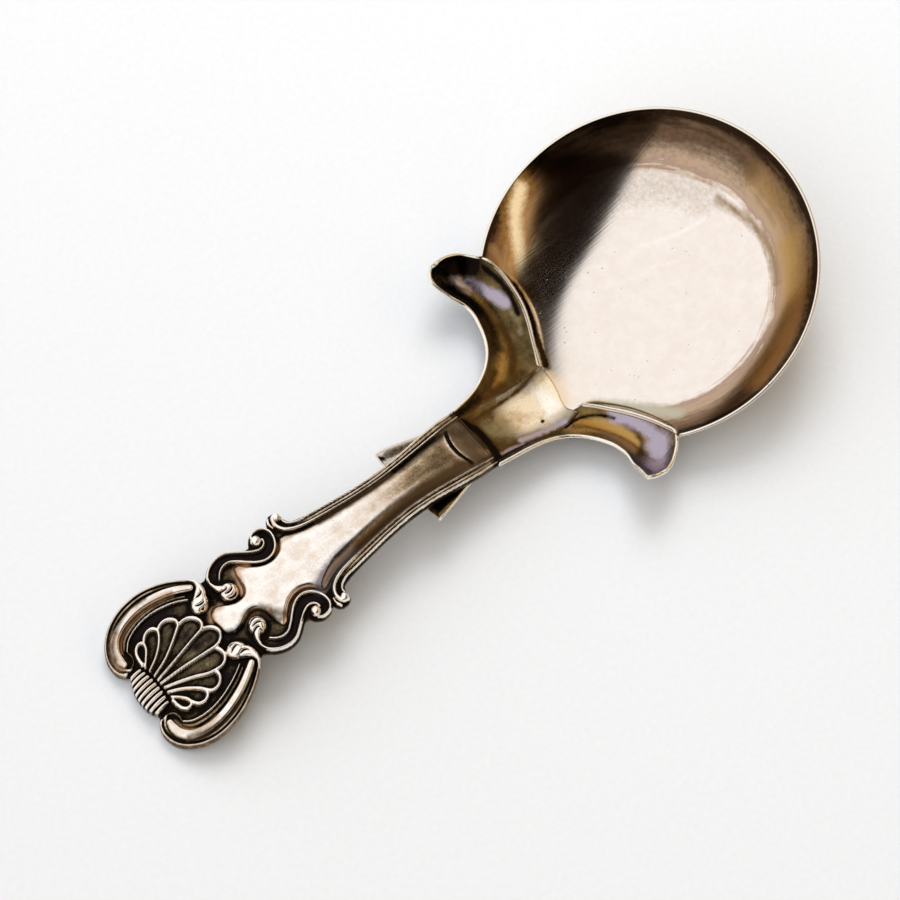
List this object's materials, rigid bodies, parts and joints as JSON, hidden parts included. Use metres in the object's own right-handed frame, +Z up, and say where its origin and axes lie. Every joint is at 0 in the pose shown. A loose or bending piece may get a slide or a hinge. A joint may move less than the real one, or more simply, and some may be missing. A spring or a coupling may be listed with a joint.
{
  "type": "caddy spoon",
  "caption": "Caddy spoon with a round dished bowl, trough shaped shoulders, and a scrolled handle that ends in a scallop shell.",
  "frame": {"origin": "on the table plane, under the middle of the spoon's box", "axes": "+X from the handle's tip to the bowl's tip, +Y to the left with the bowl open upwards, +Z up"},
  "size_m": [0.089, 0.0368, 0.0119],
  "materials": {
    "polished_silver": "polished silver sheet with fine wear and a warm tarnish",
    "toned_silver": "polished silver sheet with a brown tarnish",
    "oxidised_silver": "struck silver, dark with oxide in the recesses",
    "raised_silver": "struck silver, rubbed bright on the high places"
  },
  "bodies": {
    "root": {"bowl": "polished_silver", "neck_channel": "toned_silver", "shoulder_left": "toned_silver", "shoulder_right": "toned_silver", "neck_tail": "toned_silver", "lap_plate": "toned_silver", "handle_plate": "oxidised_silver", "shell": "oxidised_silver", "stem_crown": "raised_silver", "shell_base": "raised_silver", "border_left": "raised_silver", "border_right": "raised_silver", "s_scroll_left": "raised_silver", "s_scroll_right": "raised_silver", "c_scroll_left": "raised_silver", "c_scroll_right": "raised_silver", "c_wire_left": "raised_silver", "c_wire_right": "raised_silver"}
  },
  "joints": []
}
